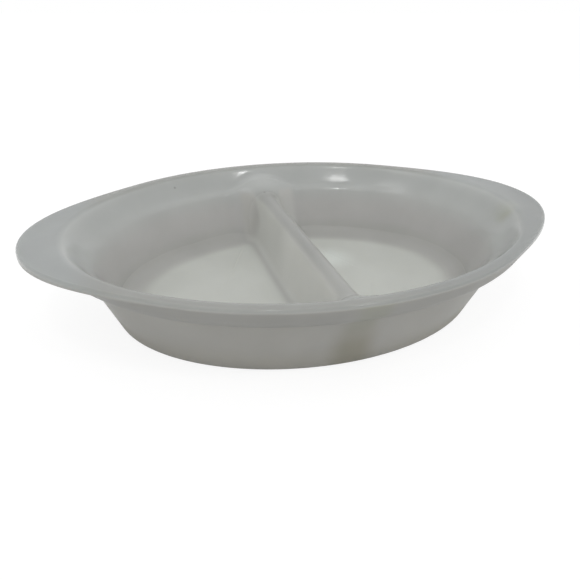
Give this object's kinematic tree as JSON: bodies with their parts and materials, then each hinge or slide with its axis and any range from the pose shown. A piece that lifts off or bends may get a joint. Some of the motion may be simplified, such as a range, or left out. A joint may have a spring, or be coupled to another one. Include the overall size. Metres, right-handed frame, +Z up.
{
  "type": "divided serving bowl",
  "caption": "Oval opal-glass serving bowl with a flared rim, two flat end tabs to lift it by, and one straight divider across its middle.",
  "frame": {"origin": "on the table, under the centre of the dish", "axes": "+X along the length, through the two end tabs; +Y along the divider; +Z up"},
  "size_m": [0.305, 0.2154, 0.051],
  "materials": {
    "opal_glass": "pressed opal (milk) glass, opaque, glossy"
  },
  "bodies": {
    "root": {"foot_ring": "opal_glass", "floor_plate": "opal_glass", "bowl_wall": "opal_glass", "lid_ledge": "opal_glass", "flared_rim": "opal_glass", "front_lip": "opal_glass", "back_lip": "opal_glass", "left_handle": "opal_glass", "right_handle": "opal_glass", "divider": "opal_glass"}
  },
  "joints": []
}
